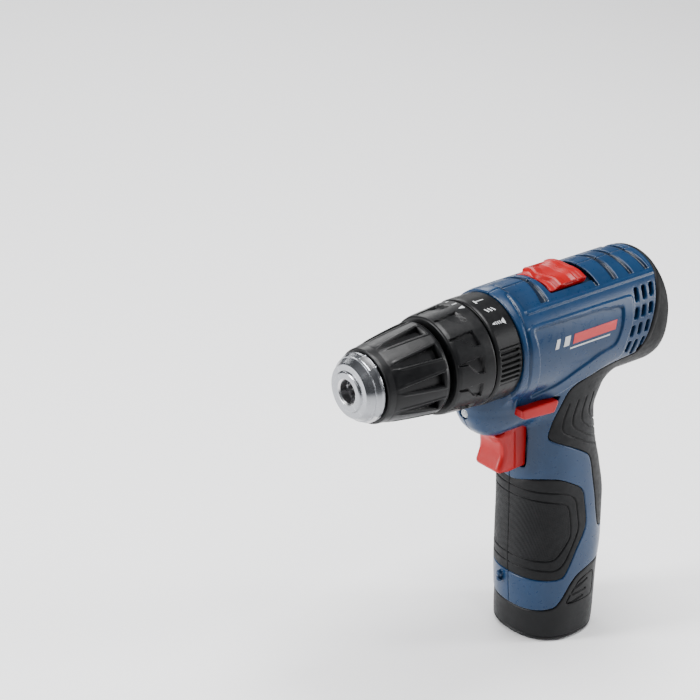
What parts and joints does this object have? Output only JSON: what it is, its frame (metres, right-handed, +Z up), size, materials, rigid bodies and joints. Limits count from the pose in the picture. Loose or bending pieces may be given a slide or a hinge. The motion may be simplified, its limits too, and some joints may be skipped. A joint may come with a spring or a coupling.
{
  "type": "cordless drill",
  "caption": "Pistol-grip cordless hammer drill with a keyless chuck, torque and mode collars, gear selector, reversing switch, trigger, planetary gearbox and a clip-in battery in the handle.",
  "frame": {"origin": "centre of the flat base under the battery, where the drill stands", "axes": "+X forward along the chuck towards the bit, +Y to the tool's left side, +Z up along the handle"},
  "size_m": [0.176, 0.0536, 0.1914],
  "materials": {
    "blue_plastic": "fine-textured moulded nylon, deep blue",
    "black_rubber": "soft overmoulded elastomer, matt black",
    "black_plastic": "satin glass-filled nylon, black",
    "red_plastic": "semi-gloss moulded plastic, red",
    "steel": "turned steel, satin",
    "hardened_steel": "hardened and tempered steel",
    "spring_steel": "drawn spring wire",
    "motor_steel": "zinc-plated steel",
    "sintered": "sintered gear steel, oiled",
    "copper": "enamelled copper",
    "brass_contact": "plated brass contact",
    "magnet": "ferrite, dark grey",
    "carbon": "pressed carbon",
    "cell_wrap": "cell can in a shrink sleeve",
    "clear_lens": "clear moulded lamp lens",
    "circuit_board": "fibreglass circuit board",
    "wire_red": "insulated flexible wire"
  },
  "bodies": {
    "housing": {"housing_left": "blue_plastic", "housing_right": "blue_plastic", "front_grip_left": "black_rubber", "front_grip_right": "black_rubber", "back_grip_left": "black_rubber", "back_grip_right": "black_rubber", "housing_screws": "hardened_steel", "led_lens": "clear_lens", "led_board": "circuit_board", "trigger_switch": "black_plastic", "trigger_spring": "spring_steel", "motor_can": "motor_steel", "motor_magnets": "magnet", "motor_end_cap": "black_plastic", "motor_brushes": "carbon", "gear_case": "black_plastic", "ring_gear_1": "sintered", "ring_gear_3": "sintered", "spindle_bearings": "hardened_steel", "hammer_ratchet_fixed": "sintered", "clutch_balls": "hardened_steel", "clutch_plate": "motor_steel", "clutch_spring": "spring_steel", "contact_block": "black_plastic", "power_leads": "wire_red"},
    "battery": {"battery_cap": "black_plastic", "battery_case": "black_plastic", "battery_cells": "cell_wrap", "battery_terminals": "brass_contact"},
    "latch_left_button": {"latch_left": "black_plastic"},
    "latch_right_button": {"latch_right": "black_plastic"},
    "trigger_lever": {"trigger": "red_plastic"},
    "direction_slider": {"direction_switch": "red_plastic"},
    "selector_slider": {"gear_selector": "red_plastic", "shift_fork": "spring_steel"},
    "torque_collar": {"torque_ring": "black_plastic"},
    "mode_collar": {"mode_ring": "black_plastic"},
    "output": {"spindle": "steel", "chuck_body": "steel", "chuck_screw": "hardened_steel"},
    "gripping_sleeve": {"chuck_sleeve": "black_plastic", "chuck_nut": "steel"},
    "jaw_1": {"chuck_jaw_1": "hardened_steel"},
    "jaw_2": {"chuck_jaw_2": "hardened_steel"},
    "jaw_3": {"chuck_jaw_3": "hardened_steel"},
    "middle_stage": {"carrier_1": "sintered", "planets_2": "sintered", "carrier_2": "sintered"},
    "shift_collar": {"shift_ring": "sintered"},
    "rotor": {"rotor_shaft": "steel", "armature": "sintered", "windings": "copper", "commutator": "copper", "sun_gear_1": "sintered"},
    "planet_gear_1a": {"planet_1a": "sintered"},
    "planet_gear_1b": {"planet_1b": "sintered"},
    "planet_gear_1c": {"planet_1c": "sintered"},
    "planet_gear_3a": {"planet_3a": "sintered"},
    "planet_gear_3b": {"planet_3b": "sintered"},
    "planet_gear_3c": {"planet_3c": "sintered"}
  },
  "joints": [
    {"name": "battery_slide", "type": "slide", "parent": "housing", "child": "battery", "axis": [0, 0, -1], "range_m": [0, 0.09]},
    {"name": "latch_left_press", "type": "slide", "parent": "battery", "child": "latch_left_button", "axis": [0, -1, 0], "range_m": [0, 0.0008], "stiffness_N_per_m": 1500},
    {"name": "latch_right_press", "type": "slide", "parent": "battery", "child": "latch_right_button", "axis": [0, 1, 0], "range_m": [0, 0.0008], "stiffness_N_per_m": 1500},
    {"name": "trigger_pull", "type": "slide", "parent": "housing", "child": "trigger_lever", "axis": [-1, 0, 0], "range_m": [0, 0.006], "stiffness_N_per_m": 900, "springref_m": -0.0008, "deforming": ["trigger_spring"]},
    {"name": "direction_slide", "type": "slide", "parent": "housing", "child": "direction_slider", "axis": [0, 1, 0], "range_m": [-0.0035, 0.0035]},
    {"name": "gear_select", "type": "slide", "parent": "housing", "child": "selector_slider", "axis": [1, 0, 0], "range_m": [-0.0045, 0]},
    {"name": "torque_turn", "type": "hinge", "parent": "housing", "child": "torque_collar", "pos_m": [0, 0, 0.162], "axis": [1, 0, 0], "range_deg": [0, 300]},
    {"name": "mode_turn", "type": "hinge", "parent": "housing", "child": "mode_collar", "pos_m": [0, 0, 0.162], "axis": [1, 0, 0], "range_deg": [0, 60]},
    {"name": "chuck_spin", "type": "hinge", "parent": "housing", "child": "output", "pos_m": [0, 0, 0.162], "axis": [1, 0, 0], "continuous": true},
    {"name": "sleeve_turn", "type": "hinge", "parent": "output", "child": "gripping_sleeve", "pos_m": [0, 0, 0.162], "axis": [1, 0, 0], "range_deg": [0, 2880]},
    {"name": "jaw_slide_1", "type": "slide", "parent": "output", "child": "jaw_1", "axis": [0.9659, 0, 0.2588], "range_m": [0, 0.0176]},
    {"name": "jaw_slide_2", "type": "slide", "parent": "output", "child": "jaw_2", "axis": [0.9659, -0.2241, -0.1294], "range_m": [0, 0.0176]},
    {"name": "jaw_slide_3", "type": "slide", "parent": "output", "child": "jaw_3", "axis": [0.9659, 0.2241, -0.1294], "range_m": [0, 0.0176]},
    {"name": "middle_spin", "type": "hinge", "parent": "housing", "child": "middle_stage", "pos_m": [0, 0, 0.162], "axis": [1, 0, 0], "continuous": true},
    {"name": "shift_collar_slide", "type": "slide", "parent": "middle_stage", "child": "shift_collar", "axis": [1, 0, 0], "range_m": [-0.0046, 0.0001]},
    {"name": "rotor_spin", "type": "hinge", "parent": "housing", "child": "rotor", "pos_m": [0, 0, 0.162], "axis": [1, 0, 0], "continuous": true},
    {"name": "planet_1a_spin", "type": "hinge", "parent": "middle_stage", "child": "planet_gear_1a", "pos_m": [0.0116, 0, 0.1524], "axis": [1, 0, 0], "continuous": true},
    {"name": "planet_1b_spin", "type": "hinge", "parent": "middle_stage", "child": "planet_gear_1b", "pos_m": [0.0116, 0.00831, 0.1668], "axis": [1, 0, 0], "continuous": true},
    {"name": "planet_1c_spin", "type": "hinge", "parent": "middle_stage", "child": "planet_gear_1c", "pos_m": [0.0116, -0.00831, 0.1668], "axis": [1, 0, 0], "continuous": true},
    {"name": "planet_3a_spin", "type": "hinge", "parent": "output", "child": "planet_gear_3a", "pos_m": [0.0353, 0, 0.1524], "axis": [1, 0, 0], "continuous": true},
    {"name": "planet_3b_spin", "type": "hinge", "parent": "output", "child": "planet_gear_3b", "pos_m": [0.0353, 0.00831, 0.1668], "axis": [1, 0, 0], "continuous": true},
    {"name": "planet_3c_spin", "type": "hinge", "parent": "output", "child": "planet_gear_3c", "pos_m": [0.0353, -0.00831, 0.1668], "axis": [1, 0, 0], "continuous": true}
  ],
  "couplings": [
    {"joint": "jaw_slide_1", "follows": "sleeve_turn", "m_per_rad": 0.00034815},
    {"joint": "jaw_slide_2", "follows": "sleeve_turn", "m_per_rad": 0.00034815},
    {"joint": "jaw_slide_3", "follows": "sleeve_turn", "m_per_rad": 0.00034815},
    {"joint": "middle_spin", "follows": "chuck_spin", "ratio": 4},
    {"joint": "rotor_spin", "follows": "chuck_spin", "ratio": 16},
    {"joint": "planet_3a_spin", "follows": "chuck_spin", "ratio": -3},
    {"joint": "planet_3b_spin", "follows": "chuck_spin", "ratio": -3},
    {"joint": "planet_3c_spin", "follows": "chuck_spin", "ratio": -3},
    {"joint": "planet_1a_spin", "follows": "chuck_spin", "ratio": -12},
    {"joint": "planet_1b_spin", "follows": "chuck_spin", "ratio": -12},
    {"joint": "planet_1c_spin", "follows": "chuck_spin", "ratio": -12},
    {"joint": "shift_collar_slide", "follows": "gear_select", "ratio": 1}
  ]
}
